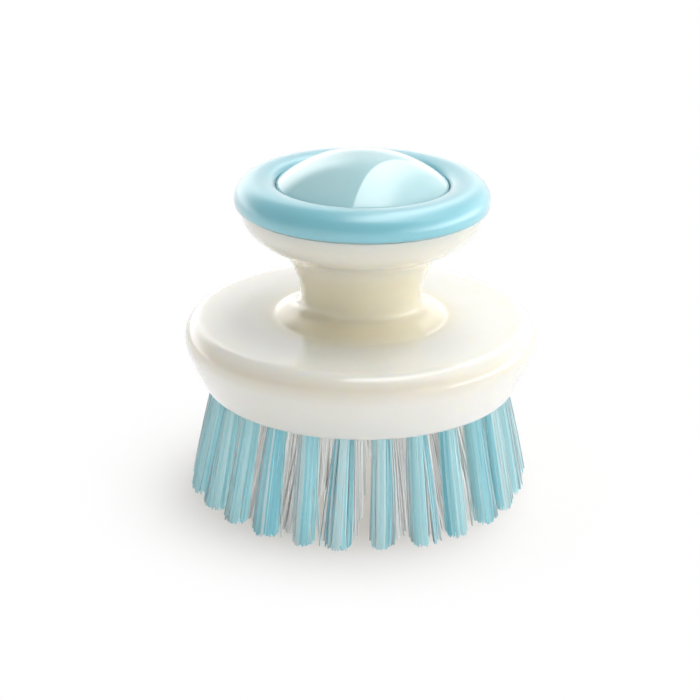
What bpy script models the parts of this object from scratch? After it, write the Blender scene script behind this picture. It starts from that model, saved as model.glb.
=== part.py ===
"""Palm dish brush with a soap tank, a sprung press button in its knob and a tufted plate.

The brush stands upright on its bristle tips, centred on the origin. Metres, +Z up.
"""

import math

import bmesh
import bpy
from mathutils import Vector

# Sizes of the handle, from the rim at its foot to the top of the cup
BRISTLE_LENGTH = 0.0209     # free length of the tufts under the rim
HEAD_R = 0.0325             # widest radius of the flared head
SKIRT_TAPER = 0.0037        # how far the head draws in from its widest place to its rim
HEAD_SKIRT_H = 0.0095       # from the lower rim up to the widest place
NECK_R = 0.0111             # narrowest radius, between the fingers
NECK_RISE = 0.0109          # from the widest place up to the narrowest
CUP_H = 0.0133              # from the narrowest place up to the cup's rim
CUP_RIM_T = 0.0025          # wall of the cup round the ring's spigot
WALL = 0.0020
FIT = 0.0003                # clearance between pieces that seat on each other

# The handle's silhouette, as hand-chosen shares of the sizes above.
# Radius shares run from the neck (or the rim) outwards, height shares from the lower end up.
CUP_SIDE_SHARES = ((1.0, 1.0), (0.95, 0.82), (0.70, 0.58), (0.30, 0.37), (0.07, 0.18), (0.0, 0.0))
HEAD_SIDE_SHARES = ((0.03, 0.70), (0.175, 0.515), (0.50, 0.41), (0.80, 0.325), (0.95, 0.205), (1.0, 0.0))
SKIRT_SIDE_SHARES = ((0.80, 0.62), (0.40, 0.28), (0.0, 0.0))
SIDE_STEPS = 2

# Brush plate, which closes the tank from below
LIP_T = 0.0008              # wall of the head's rim round the plate
PLATE_T = 0.0045
PLATE_RIM_H = 0.0022        # wall round the top of the plate, which carries the seal
PLATE_RIM_T = 0.0024
SEAL_GROOVE_DEPTH = 0.0013
SEAL_GROOVE_H = 0.0016
LEDGE_W = 0.0011            # step in the tank's wall that the plate's rim comes up against
TANK_CORNER = 0.0012

# Deck across the foot of the neck, with the rod's guide and gland
ROOF_FLAT_R = 0.0179        # radius within which the tank's roof is flat
DECK_T = 0.0028
GUIDE_BOSS_R = 0.0054
GUIDE_BOSS_H = 0.0023
ROD_SEAL_WIRE_R = 0.0009
WASHER_T = 0.0010

# Press button, rod and valve
TRAVEL = 0.0030
BUTTON_R = 0.0158
BUTTON_CROWN = 0.0054       # rise of the dome above its edge
BUTTON_EDGE_R = 0.0004
BUTTON_EDGE_RISE = 0.0018   # the dome's edge above the underside of the ring's lip
BUTTON_T = 0.0017
FLANGE_W = 0.0019
FLANGE_T = 0.0014
SPRING_BOSS_MARGIN = 0.00075  # spring seat beyond the spring's coils
SPRING_BOSS_DROP = 0.0009   # spring seat below the foot of the flange
STEM_GAP = 0.00125          # between the stem and the spring round it
ROD_R = 0.0018
ROD_GRIP = 0.0100           # length of rod held in the button's stem
ROD_HEAD_W = 0.0007         # how far the rod's head stands out
ROD_HEAD_T = 0.0010
OUTLET_GAP = 0.0009         # flow gap between the rod and the outlet
SEAT_GAP = 0.0007           # flow gap between the rod and the gasket
PLUG_GAP = 0.0006           # flow gap between the plug and its bore
VALVE_WEB_T = 0.0010        # plate left above the valve bore
SEAT_T = 0.0010
PLUG_WALL = 0.0009
PLUG_T = 0.0032
PLUG_LIP_T = 0.0006
PLUG_TAPER = 0.0005

# Grip ring round the button
RING_OVERHANG = 0.0010      # how far the ring stands out past the cup's rim
RING_RISE = 0.00505         # top of the ring above its flat underside
RING_BELLY_RISE = 0.0009    # widest place of the ring above its flat underside
RING_GAP = 0.00035          # running gap between the button and the ring
RING_ROUND_W = 0.00245      # width of the rounding inside the crest
RING_ROUND_H = 0.0013       # height of the same
RING_LIP_RISE = 0.0023      # underside of the lip above the ring's flat underside
SPIGOT_T = 0.0014
SPIGOT_L = 0.0023
SPIGOT_GAP = 0.0004         # running gap between the button's flange and the spigot
BEAD_H = 0.0006             # snap bead round the spigot
BEAD_HALF_W = 0.0006

# Return spring
SPRING_WIRE_R = 0.00045
SPRING_MEAN_R = 0.0056
SPRING_TURNS = 7
SPRING_END_PITCH = 0.0014
SPRING_POINTS = 9           # points in a turn

# Tufts, in rows counted from the rim inwards
ROW_COUNTS = (25, 19, 13, 8)
INNER_ROW_NAMES = ("second_row_tufts", "third_row_tufts", "inner_row_tufts")
PLUG_END_R = 0.0016         # bound root of a tuft
HOLE_DEPTH = 0.0034         # depth of a root's seat in the plate
TUFT_TIP_R = 0.0024         # spread of a tuft at its tips
ROW_MARGIN = 0.0005         # plate left outside the outer row's seats
VALVE_MARGIN = 0.0016       # plate left between the valve bore and the inner row's seats
OUTER_SPLAY = 0.0032        # how far the outer row leans out over the bristle length
FIRST_TUFT_ANGLE = math.radians(-5.4)
ROOT_SINK = 0.0006          # length of strand inside its bound root
OUTER_STRANDS = 7
INNER_STRANDS = 5
STRAND_SIDES = 3
STRAND_ROOT_SHARE = 0.26    # radius of a strand, of its tuft's radius there
STRAND_TIP_SHARE = 0.32
FRAY = 0.0015               # unevenness of the cut tips
TRIM = 0.0005               # depth of the flat cut that the brush stands on
GOLDEN_SHARE = 0.618

# Faces round a turned piece
ROUND_STEPS = 40
SMALL_STEPS = 20
TUFT_STEPS = 6
RING_SECTION_STEPS = 6
MERGE = 0.000001
MILLIMETRES = 1000
SMOOTH_ANGLE = math.radians(35)
CUT_OVERRUN = 0.0005

CREAM = (0.86, 0.81, 0.72)
RING_BLUE = (0.36, 0.67, 0.74)
BUTTON_AQUA = (0.50, 0.78, 0.80)
TUFT_BLUE = (0.22, 0.60, 0.66)
TUFT_WHITE = (0.84, 0.88, 0.86)
SEAL_GREY = (0.75, 0.76, 0.76)
STEEL = (0.62, 0.62, 0.62)


def smooth_through(points, steps):
    """Catmull-Rom curve through (radius, height) points, with its ends continued straight."""
    knots = [Vector(point) for point in points]
    knots = [2 * knots[0] - knots[1]] + knots + [2 * knots[-1] - knots[-2]]
    curve = []
    for a, b, c, d in zip(knots, knots[1:], knots[2:], knots[3:]):
        for step in range(steps):
            t = step / steps
            point = 2 * b + (c - a) * t + (2 * a - 5 * b + 4 * c - d) * t ** 2
            curve.append((point + (3 * b - a - 3 * c + d) * t ** 3) / 2)
    curve.append(knots[-2])
    return [tuple(point) for point in curve]


def placed(shares, inner_r, outer_r, low_z, high_z):
    """Turn (radius share, height share) pairs into points."""
    return [(inner_r + r * (outer_r - inner_r), low_z + z * (high_z - low_z)) for r, z in shares]


def inset(points, distance):
    """Move each point of a falling side towards the inside of the piece it bounds."""
    moved = []
    for index, (r, z) in enumerate(points):
        before = Vector(points[max(index - 1, 0)])
        after = Vector(points[min(index + 1, len(points) - 1)])
        along = (after - before).normalized()
        moved.append((r + along.y * distance, z - along.x * distance))
    return moved


def crossing(points, value, given, wanted):
    """Where a side passes a given coordinate, read off its other coordinate."""
    for a, b in zip(points, points[1:]):
        low, high = sorted((a[given], b[given]))
        if low <= value <= high and low < high:
            share = (value - a[given]) / (b[given] - a[given])
            return a[wanted] + share * (b[wanted] - a[wanted])
    return points[-1][wanted]


def arc(centre_r, centre_z, width, height, start, end, steps):
    """Points along an elliptical arc in the (radius, height) plane, angles in degrees."""
    points = []
    for step in range(steps + 1):
        angle = math.radians(start + (end - start) * step / steps)
        points.append((centre_r + width * math.cos(angle), centre_z + height * math.sin(angle)))
    return points


# Radii that follow from what seats in what
HEAD_RIM_R = HEAD_R - SKIRT_TAPER
PLATE_R = HEAD_RIM_R - LIP_T - FIT
SOCKET_R = PLATE_R + FIT
TANK_R = SOCKET_R - LEDGE_W
GUIDE_R = ROD_R + FIT
GLAND_R = GUIDE_R + 2 * ROD_SEAL_WIRE_R + FIT
GLAND_DEPTH = 2 * ROD_SEAL_WIRE_R + FIT
OUTLET_R = ROD_R + OUTLET_GAP
SEAT_BORE_R = ROD_R + SEAT_GAP
NECK_BORE_R = NECK_R - WALL
ROD_HEAD_R = ROD_R + ROD_HEAD_W
PLUG_R = ROD_HEAD_R + FIT + PLUG_WALL
VALVE_BORE_R = PLUG_R + PLUG_GAP
SPRING_BOSS_R = SPRING_MEAN_R + SPRING_WIRE_R + SPRING_BOSS_MARGIN
STEM_R = SPRING_MEAN_R - SPRING_WIRE_R - STEM_GAP
FLANGE_R = BUTTON_R + FLANGE_W
SPIGOT_INNER_R = FLANGE_R + SPIGOT_GAP
SPIGOT_R = SPIGOT_INNER_R + SPIGOT_T
COLLAR_SOCKET_R = SPIGOT_R + FIT
CUP_R = COLLAR_SOCKET_R + CUP_RIM_T
RING_R = CUP_R + RING_OVERHANG
RING_BORE_R = BUTTON_R + RING_GAP
RING_CREST_R = RING_BORE_R + RING_ROUND_W
SEAT_HOLE_R = PLUG_END_R + FIT
OUTER_ROW_R = PLATE_R - ROW_MARGIN - SEAT_HOLE_R
INNER_ROW_R = VALVE_BORE_R + VALVE_MARGIN + SEAT_HOLE_R
ROW_PITCH = (OUTER_ROW_R - INNER_ROW_R) / len(INNER_ROW_NAMES)
STRAND_ROOT_R = STRAND_ROOT_SHARE * PLUG_END_R
STRAND_TIP_R = STRAND_TIP_SHARE * TUFT_TIP_R
ROOT_SPREAD = PLUG_END_R * math.cos(math.pi / TUFT_STEPS) - STRAND_ROOT_R
TIP_SPREAD = TUFT_TIP_R - STRAND_TIP_R

# Heights of the assembly, each stacked on the one before
RIM_Z = BRISTLE_LENGTH
WIDEST_Z = RIM_Z + HEAD_SKIRT_H
NECK_Z = WIDEST_Z + NECK_RISE
CUP_TOP_Z = NECK_Z + CUP_H
CUP_SIDE = placed(CUP_SIDE_SHARES, NECK_R, CUP_R, NECK_Z, CUP_TOP_Z)
HEAD_SIDE = placed(HEAD_SIDE_SHARES, NECK_R, HEAD_R, WIDEST_Z, NECK_Z)
SKIRT_SIDE = placed(SKIRT_SIDE_SHARES, HEAD_RIM_R, HEAD_R, RIM_Z, WIDEST_Z)

PLATE_TOP_Z = RIM_Z + PLATE_T
PLATE_RIM_Z = PLATE_TOP_Z + PLATE_RIM_H
SEAL_GROOVE_Z = PLATE_RIM_Z - PLATE_RIM_H / 2 - SEAL_GROOVE_H / 2
VALVE_CEILING_Z = PLATE_TOP_Z - VALVE_WEB_T
SEAT_Z = VALVE_CEILING_Z - FIT - SEAT_T
PLUG_TOP_Z = SEAT_Z - FIT
PLUG_Z = PLUG_TOP_Z - PLUG_T

TANK_EDGE_Z = crossing(HEAD_SIDE, TANK_R, 0, 1) - WALL
ROOF_Z = crossing(HEAD_SIDE, ROOF_FLAT_R, 0, 1) - WALL
DECK_Z = ROOF_Z + DECK_T
GLAND_Z = DECK_Z - GLAND_DEPTH
WASHER_Z = DECK_Z + FIT
SPRING_Z = WASHER_Z + WASHER_T + FIT

RING_Z = CUP_TOP_Z + FIT
LIP_Z = RING_Z + RING_LIP_RISE
FLANGE_TOP_Z = LIP_Z - FIT
FLANGE_Z = FLANGE_TOP_Z - FLANGE_T
DOME_EDGE_Z = LIP_Z + BUTTON_EDGE_RISE
SPRING_SEAT_Z = FLANGE_Z - SPRING_BOSS_DROP
STEM_Z = WASHER_Z + WASHER_T + TRAVEL + FIT
SPIGOT_Z = RING_Z - SPIGOT_L
BEAD_Z = RING_Z - SPIGOT_L / 2
COLLAR_FLOOR_Z = SPIGOT_Z - FIT


def finish_of(name, colour, roughness, metallic=0.0):
    """Give one piece its own material."""
    material = bpy.data.materials.new(name + "_finish")
    material.use_nodes = True
    shader = material.node_tree.nodes["Principled BSDF"]
    shader.inputs["Base Color"].default_value = (*colour, 1.0)
    shader.inputs["Roughness"].default_value = roughness
    shader.inputs["Metallic"].default_value = metallic
    return material


def add_piece(name, data, finish, base_z=0.0, parent=None):
    """Put a mesh or curve in the scene with its origin on the brush's axis."""
    piece = bpy.data.objects.new(name, data)
    data.materials.append(finish)
    piece.location.z = base_z
    bpy.context.scene.collection.objects.link(piece)
    if parent is not None:
        piece.parent = parent
        piece.location.z = base_z - parent.location.z
    return piece


def mesh_from(bm, name):
    """Close a bmesh off into a smooth shaded mesh."""
    bmesh.ops.recalc_face_normals(bm, faces=bm.faces)
    mesh = bpy.data.meshes.new(name)
    bm.to_mesh(mesh)
    bm.free()
    mesh.shade_smooth()
    mesh.set_sharp_from_angle(angle=SMOOTH_ANGLE)
    return mesh


def turned(name, outline, finish, base_z, steps=ROUND_STEPS, parent=None):
    """Spin a half section of (radius, height) points about the Z axis."""
    bm = bmesh.new()
    corners = [bm.verts.new((r, 0.0, z - base_z)) for r, z in outline]
    ends_on_axis = outline[0][0] < MERGE and outline[-1][0] < MERGE
    followers = corners[1:] if ends_on_axis else corners[1:] + corners[:1]
    sides = [bm.edges.new(pair) for pair in zip(corners, followers)]
    bmesh.ops.spin(
        bm, geom=corners + sides, cent=(0, 0, 0), axis=(0, 0, 1),
        angle=math.tau, steps=steps, use_merge=True,
    )
    bmesh.ops.remove_doubles(bm, verts=bm.verts, dist=MERGE)
    return add_piece(name, mesh_from(bm, name), finish, base_z, parent)


def o_ring(name, mean_r, wire_r, centre_z, steps, parent=None):
    """A rubber ring of round section."""
    section = arc(mean_r, centre_z, wire_r, wire_r, 0, 360, RING_SECTION_STEPS)[:-1]
    return turned(name, section, finish_of(name, SEAL_GREY, 0.6), centre_z, steps, parent)


def build_handle_shell():
    """Cup, neck and flared head in one moulding, with the deck across the foot of its neck."""
    outside = smooth_through(CUP_SIDE + HEAD_SIDE + SKIRT_SIDE, SIDE_STEPS)
    tank = [
        (SOCKET_R, RIM_Z),
        (SOCKET_R, PLATE_RIM_Z + FIT),
        (TANK_R, PLATE_RIM_Z + FIT),
        (TANK_R, TANK_EDGE_Z - TANK_CORNER),
        (TANK_R - TANK_CORNER, TANK_EDGE_Z),
        (ROOF_FLAT_R, ROOF_Z),
    ]
    deck = [
        (GUIDE_BOSS_R, ROOF_Z),
        (GUIDE_BOSS_R, ROOF_Z - GUIDE_BOSS_H),
        (GUIDE_R, ROOF_Z - GUIDE_BOSS_H),
        (GUIDE_R, GLAND_Z),
        (GLAND_R, GLAND_Z),
        (GLAND_R, DECK_Z),
        (NECK_BORE_R, DECK_Z),
    ]
    inner_side = smooth_through(inset(CUP_SIDE, WALL), SIDE_STEPS)
    bowl = [point for point in reversed(inner_side) if point[1] < COLLAR_FLOOR_Z - FIT]
    socket = [
        (crossing(inner_side, COLLAR_FLOOR_Z, 1, 0), COLLAR_FLOOR_Z),
        (COLLAR_SOCKET_R, COLLAR_FLOOR_Z),
        (COLLAR_SOCKET_R, BEAD_Z - BEAD_HALF_W),
        (COLLAR_SOCKET_R + BEAD_H, BEAD_Z),
        (COLLAR_SOCKET_R, BEAD_Z + BEAD_HALF_W),
        (COLLAR_SOCKET_R, CUP_TOP_Z),
    ]
    finish = finish_of("handle_shell", CREAM, 0.12)
    turned("handle_shell", outside + tank + deck + bowl + socket, finish, RIM_Z)


def build_grip_ring():
    """Rounded ring that caps the cup, holds the button down and snaps in by its spigot."""
    belly_z = RING_Z + RING_BELLY_RISE
    belly_w = RING_R - RING_CREST_R
    belly_h = RING_RISE - RING_BELLY_RISE
    start = -math.degrees(math.asin(RING_BELLY_RISE / belly_h))
    outside = arc(RING_CREST_R, belly_z, belly_w, belly_h, start, 90, 8)
    round_z = RING_Z + RING_RISE - RING_ROUND_H
    inside = arc(RING_CREST_R, round_z, RING_ROUND_W, RING_ROUND_H, 90, 180, 4)[1:]
    spigot = [
        (RING_BORE_R, LIP_Z),
        (SPIGOT_INNER_R, LIP_Z),
        (SPIGOT_INNER_R, SPIGOT_Z),
        (SPIGOT_R, SPIGOT_Z),
        (SPIGOT_R, BEAD_Z - BEAD_HALF_W),
        (SPIGOT_R + BEAD_H, BEAD_Z),
        (SPIGOT_R, BEAD_Z + BEAD_HALF_W),
        (SPIGOT_R, RING_Z),
    ]
    finish = finish_of("grip_ring", RING_BLUE, 0.3)
    turned("grip_ring", outside + inside + spigot, finish, RING_Z)


def dome_height(r):
    """Height of the button's dome above its edge, at a radius."""
    edge_r = BUTTON_R - BUTTON_EDGE_R
    sphere_r = (edge_r ** 2 + BUTTON_CROWN ** 2) / (2 * BUTTON_CROWN)
    return math.sqrt(sphere_r ** 2 - r ** 2) - sphere_r + BUTTON_CROWN


def build_push_button(slide):
    """Domed button with a retaining flange, a spring seat and the stem that holds the rod."""
    steps = 5
    edge_r = BUTTON_R - BUTTON_EDGE_R
    dome = [(edge_r * i / steps, DOME_EDGE_Z + dome_height(edge_r * i / steps)) for i in range(steps + 1)]
    skirt = [
        (BUTTON_R, DOME_EDGE_Z - BUTTON_EDGE_R),
        (BUTTON_R, FLANGE_TOP_Z),
        (FLANGE_R, FLANGE_TOP_Z),
        (FLANGE_R, FLANGE_Z),
        (BUTTON_R - BUTTON_T, FLANGE_Z),
    ]
    wall_r = BUTTON_R - BUTTON_T
    ceiling = []
    for step in range(3):
        r = wall_r + (SPRING_BOSS_R - wall_r) * step / 2
        ceiling.append((r, DOME_EDGE_Z + dome_height(r) - BUTTON_T))
    stem = [
        (SPRING_BOSS_R, SPRING_SEAT_Z),
        (STEM_R, SPRING_SEAT_Z),
        (STEM_R, STEM_Z),
        (GUIDE_R, STEM_Z),
        (GUIDE_R, STEM_Z + ROD_GRIP + FIT),
        (0.0, STEM_Z + ROD_GRIP + FIT),
    ]
    finish = finish_of("push_button", BUTTON_AQUA, 0.08)
    turned("push_button", dome + skirt + ceiling + stem, finish, FLANGE_Z, parent=slide)


def build_plunger_rod(slide):
    """Rod from the button's stem down through the tank, with a head that holds the valve plug."""
    head_z = PLUG_TOP_Z - PLUG_LIP_T - FIT - ROD_HEAD_T
    outline = [
        (0.0, head_z),
        (ROD_HEAD_R, head_z),
        (ROD_HEAD_R, head_z + ROD_HEAD_T),
        (ROD_R, head_z + ROD_HEAD_T),
        (ROD_R, STEM_Z + ROD_GRIP),
        (0.0, STEM_Z + ROD_GRIP),
    ]
    finish = finish_of("plunger_rod", STEEL, 0.25, 1.0)
    turned("plunger_rod", outline, finish, head_z, SMALL_STEPS, slide)


def build_valve_plug(slide):
    """Soft plug snapped over the rod's head, which shuts the outlet from below."""
    cavity_top_z = PLUG_TOP_Z - PLUG_LIP_T
    cavity_z = cavity_top_z - ROD_HEAD_T - 2 * FIT
    outline = [
        (0.0, PLUG_Z),
        (PLUG_R - PLUG_TAPER, PLUG_Z),
        (PLUG_R, PLUG_Z + PLUG_TAPER),
        (PLUG_R, PLUG_TOP_Z - PLUG_TAPER),
        (PLUG_R - PLUG_TAPER, PLUG_TOP_Z),
        (GUIDE_R, PLUG_TOP_Z),
        (GUIDE_R, cavity_top_z),
        (ROD_HEAD_R + FIT, cavity_top_z),
        (ROD_HEAD_R + FIT, cavity_z),
        (0.0, cavity_z),
    ]
    finish = finish_of("valve_plug", SEAL_GREY, 0.6)
    turned("valve_plug", outline, finish, PLUG_Z, SMALL_STEPS, slide)


def build_flat_rings():
    """The washer under the spring and the gasket that the valve plug closes on."""
    washer_z = WASHER_Z + WASHER_T
    washer_r = NECK_BORE_R - FIT
    washer = [(GUIDE_R, WASHER_Z), (washer_r, WASHER_Z), (washer_r, washer_z), (GUIDE_R, washer_z)]
    turned("spring_washer", washer, finish_of("spring_washer", STEEL, 0.25, 1.0), WASHER_Z)
    seat_r = VALVE_BORE_R - FIT
    seat_z = SEAT_Z + SEAT_T
    seat = [(SEAT_BORE_R, SEAT_Z), (seat_r, SEAT_Z), (seat_r, seat_z), (SEAT_BORE_R, seat_z)]
    turned("valve_seat", seat, finish_of("valve_seat", SEAL_GREY, 0.6), SEAT_Z, SMALL_STEPS)


def build_seals():
    """Rubber rings in the plate's edge and in the rod's gland."""
    groove_floor_r = PLATE_R - SEAL_GROOVE_DEPTH
    wire_r = (SEAL_GROOVE_DEPTH - FIT) / 2
    o_ring("plate_seal", groove_floor_r + FIT + wire_r, wire_r, SEAL_GROOVE_Z + SEAL_GROOVE_H / 2, ROUND_STEPS)
    o_ring("rod_seal", GUIDE_R + ROD_SEAL_WIRE_R, ROD_SEAL_WIRE_R, GLAND_Z + FIT + ROD_SEAL_WIRE_R, SMALL_STEPS)


def row_radius(row):
    return OUTER_ROW_R - row * ROW_PITCH


def row_angles(row):
    """Where the tufts of a row stand, measured from -Y towards +X."""
    count = ROW_COUNTS[row]
    return [FIRST_TUFT_ANGLE + math.tau * index / count for index in range(count)]


def build_brush_plate():
    """Round plate with the valve bore, the seal's groove and the seats of the tufts."""
    groove_r = PLATE_R - SEAL_GROOVE_DEPTH
    underside = []
    for row in range(len(INNER_ROW_NAMES), 0, -1):
        inner_r = row_radius(row) - SEAT_HOLE_R
        outer_r = row_radius(row) + SEAT_HOLE_R
        underside += [(inner_r, RIM_Z), (inner_r, RIM_Z + HOLE_DEPTH)]
        underside += [(outer_r, RIM_Z + HOLE_DEPTH), (outer_r, RIM_Z)]
    outline = [
        (OUTLET_R, PLATE_TOP_Z),
        (OUTLET_R, VALVE_CEILING_Z),
        (VALVE_BORE_R, VALVE_CEILING_Z),
        (VALVE_BORE_R, RIM_Z),
        *underside,
        (PLATE_R, RIM_Z),
        (PLATE_R, SEAL_GROOVE_Z),
        (groove_r, SEAL_GROOVE_Z),
        (groove_r, SEAL_GROOVE_Z + SEAL_GROOVE_H),
        (PLATE_R, SEAL_GROOVE_Z + SEAL_GROOVE_H),
        (PLATE_R, PLATE_RIM_Z),
        (PLATE_R - PLATE_RIM_T, PLATE_RIM_Z),
        (PLATE_R - PLATE_RIM_T, PLATE_TOP_Z),
    ]
    plate = turned("brush_plate", outline, finish_of("brush_plate", CREAM, 0.2), RIM_Z)

    bm = bmesh.new()
    for angle in row_angles(0):
        foot = (0.0, 0.0, SEAT_HOLE_R, -CUT_OVERRUN)
        head = (0.0, 0.0, SEAT_HOLE_R, HOLE_DEPTH)
        add_column(bm, foot, head, TUFT_STEPS, 0, angle)
    cutter = add_piece("tuft_hole_cutter", mesh_from(bm, "tuft_hole_cutter"), plate.data.materials[0], RIM_Z)
    cutter.hide_render = True
    cutter.display_type = "WIRE"
    cut = plate.modifiers.new("tuft_holes", "BOOLEAN")
    cut.operation = "DIFFERENCE"
    cut.object = cutter


def add_column(bm, foot, head, sides, row, angle):
    """Add a closed prism between two level polygons of a tuft.

    Each end is its offset outwards and round the row from the root's centre, its radius and
    its height above the rim. sides is the number of corners of each end.
    """
    ends = []
    for outwards, across, radius, z in (foot, head):
        corners = []
        for side in range(sides):
            turn = math.tau * side / sides
            out = row_radius(row) + outwards + radius * math.cos(turn)
            aside = across + radius * math.sin(turn)
            x = out * math.sin(angle) + aside * math.cos(angle)
            y = aside * math.sin(angle) - out * math.cos(angle)
            corners.append(bm.verts.new((x, y, z)))
        ends.append(corners)
    low, high = ends
    bm.faces.new(low)
    bm.faces.new(high)
    for side in range(sides):
        following = (side + 1) % sides
        bm.faces.new((low[side], low[following], high[following], high[side]))


def add_strands(bm, row, tuft, angle, count):
    """Add one tuft's strands: one up the middle and the others round it, spreading to the tips."""
    lean = OUTER_SPLAY * row_radius(row) / OUTER_ROW_R
    for strand in range(count):
        turn = math.tau * strand / (count - 1)
        out = math.cos(turn) if strand else 0.0
        aside = math.sin(turn) if strand else 0.0
        fray = FRAY * ((tuft * count + strand) * GOLDEN_SHARE % 1.0)
        tip_z = max(0.0, fray - TRIM) - RIM_Z
        tip = (lean + TIP_SPREAD * out, TIP_SPREAD * aside, STRAND_TIP_R, tip_z)
        root = (ROOT_SPREAD * out, ROOT_SPREAD * aside, STRAND_ROOT_R, ROOT_SINK)
        add_column(bm, tip, root, STRAND_SIDES, row, angle)


def fuse_strands(backing, bm, finish):
    """Join strands to the slice of backing that holds them."""
    name = backing.name + "_strands"
    strands = add_piece(name, mesh_from(bm, name), finish, RIM_Z)
    strands.hide_render = True
    strands.display_type = "WIRE"
    join = backing.modifiers.new("strands", "BOOLEAN")
    join.operation = "UNION"
    join.object = strands


def build_outer_tufts():
    """The outer row: each tuft is a piece of its own, with its bound root in its own hole."""
    for index, angle in enumerate(row_angles(0)):
        name = f"outer_tuft_{index + 1:02d}"
        finish = finish_of(name, TUFT_BLUE, 0.4)
        bm = bmesh.new()
        foot = (0.0, 0.0, PLUG_END_R, 0.0)
        head = (0.0, 0.0, PLUG_END_R, HOLE_DEPTH - FIT)
        add_column(bm, foot, head, TUFT_STEPS, 0, angle)
        root = add_piece(name, mesh_from(bm, name), finish, RIM_Z)
        strands = bmesh.new()
        add_strands(strands, 0, index, angle, OUTER_STRANDS)
        fuse_strands(root, strands, finish)


def build_inner_rows():
    """The inner rows: the tufts of a row share a ring of backing, seated in a groove."""
    for row, name in enumerate(INNER_ROW_NAMES, start=1):
        finish = finish_of(name, TUFT_WHITE, 0.4)
        inner_r = row_radius(row) - PLUG_END_R
        outer_r = row_radius(row) + PLUG_END_R
        top_z = RIM_Z + HOLE_DEPTH - FIT
        outline = [(inner_r, RIM_Z), (outer_r, RIM_Z), (outer_r, top_z), (inner_r, top_z)]
        backing = turned(name, outline, finish, RIM_Z, ROUND_STEPS)
        strands = bmesh.new()
        for index, angle in enumerate(row_angles(row)):
            add_strands(strands, row, index, angle, INNER_STRANDS)
        fuse_strands(backing, strands, finish)


def spring_points():
    """Centre line of the return spring: closed-in end turns and open turns between them."""
    low_z = SPRING_Z + SPRING_WIRE_R
    high_z = SPRING_SEAT_Z - FIT - SPRING_WIRE_R
    open_pitch = (high_z - low_z - 2 * SPRING_END_PITCH) / (SPRING_TURNS - 2)
    points = []
    for step in range(SPRING_TURNS * SPRING_POINTS + 1):
        turn = step / SPRING_POINTS
        low_part = min(turn, 1.0) * SPRING_END_PITCH
        open_part = min(max(turn - 1.0, 0.0), SPRING_TURNS - 2) * open_pitch
        high_part = max(turn - SPRING_TURNS + 1, 0.0) * SPRING_END_PITCH
        angle = math.tau * turn
        flat = (SPRING_MEAN_R * math.cos(angle), SPRING_MEAN_R * math.sin(angle))
        points.append(Vector((*flat, low_z + low_part + open_part + high_part)))
    return points


def build_return_spring():
    """Compression spring between the washer and the button, its ends straight for a wire's width."""
    points = spring_points()
    wire = 2 * SPRING_WIRE_R
    tail = Vector((0.0, -wire, 0.0))
    points = [points[0] + tail] + points + [points[-1] - tail]
    least = min(
        (a - b).length
        for i, a in enumerate(points)
        for b in points[i + SPRING_POINTS // 2:]
    )
    print(f"return_spring least gap to itself {(least - wire) * MILLIMETRES:.2f} mm")
    curve = bpy.data.curves.new("return_spring", "CURVE")
    curve.dimensions = "3D"
    curve.bevel_depth = SPRING_WIRE_R
    curve.bevel_resolution = 1
    curve.use_fill_caps = True
    line = curve.splines.new("POLY")
    line.points.add(len(points) - 1)
    for knot, point in zip(line.points, points):
        knot.co = (point.x, point.y, point.z - SPRING_Z, 1.0)
    add_piece("return_spring", curve, finish_of("return_spring", STEEL, 0.25, 1.0), SPRING_Z)


def main():
    for old in list(bpy.data.objects):
        bpy.data.objects.remove(old, do_unlink=True)

    slide = bpy.data.objects.new("button_slide", None)
    slide.location.z = FLANGE_TOP_Z
    bpy.context.scene.collection.objects.link(slide)

    build_handle_shell()
    build_grip_ring()
    build_push_button(slide)
    build_plunger_rod(slide)
    build_valve_plug(slide)
    build_return_spring()
    build_flat_rings()
    build_seals()
    build_brush_plate()
    build_outer_tufts()
    build_inner_rows()


main()
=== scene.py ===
"""Looks of the palm dish brush: fine turned mouldings, loose filament tufts, studio and camera.

Metres, +Z up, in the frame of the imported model. The brush stands on its tips at the origin
and the camera looks along +Y.
"""

import math
import random

import bmesh
import bpy
import numpy as np
from mathutils import Matrix, Vector


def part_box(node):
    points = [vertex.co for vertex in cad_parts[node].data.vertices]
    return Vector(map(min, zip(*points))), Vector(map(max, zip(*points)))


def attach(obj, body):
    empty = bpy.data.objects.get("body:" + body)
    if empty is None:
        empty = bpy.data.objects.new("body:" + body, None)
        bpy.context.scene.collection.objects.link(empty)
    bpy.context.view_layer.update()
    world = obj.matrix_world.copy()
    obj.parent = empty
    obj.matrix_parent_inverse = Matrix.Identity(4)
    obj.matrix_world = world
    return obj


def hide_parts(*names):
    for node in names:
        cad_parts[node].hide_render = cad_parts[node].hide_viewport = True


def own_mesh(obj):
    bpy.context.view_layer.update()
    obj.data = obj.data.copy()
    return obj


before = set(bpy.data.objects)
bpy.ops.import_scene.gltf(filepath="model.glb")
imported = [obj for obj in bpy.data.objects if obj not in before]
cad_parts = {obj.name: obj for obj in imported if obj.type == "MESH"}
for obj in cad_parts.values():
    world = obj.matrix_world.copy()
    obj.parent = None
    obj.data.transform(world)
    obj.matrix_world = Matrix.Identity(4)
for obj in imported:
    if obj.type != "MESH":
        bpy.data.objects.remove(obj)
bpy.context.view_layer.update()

MM = 0.001

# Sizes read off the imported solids
SHELL_LOW, SHELL_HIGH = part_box("handle_shell")
RING_LOW, RING_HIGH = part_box("grip_ring")
BUTTON_LOW, BUTTON_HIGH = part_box("push_button")
_, PLATE_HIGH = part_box("brush_plate")
WASHER_LOW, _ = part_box("spring_washer")
SPRING_LOW, SPRING_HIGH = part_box("return_spring")
_, TUFT_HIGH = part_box("outer_tuft_01")

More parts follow.
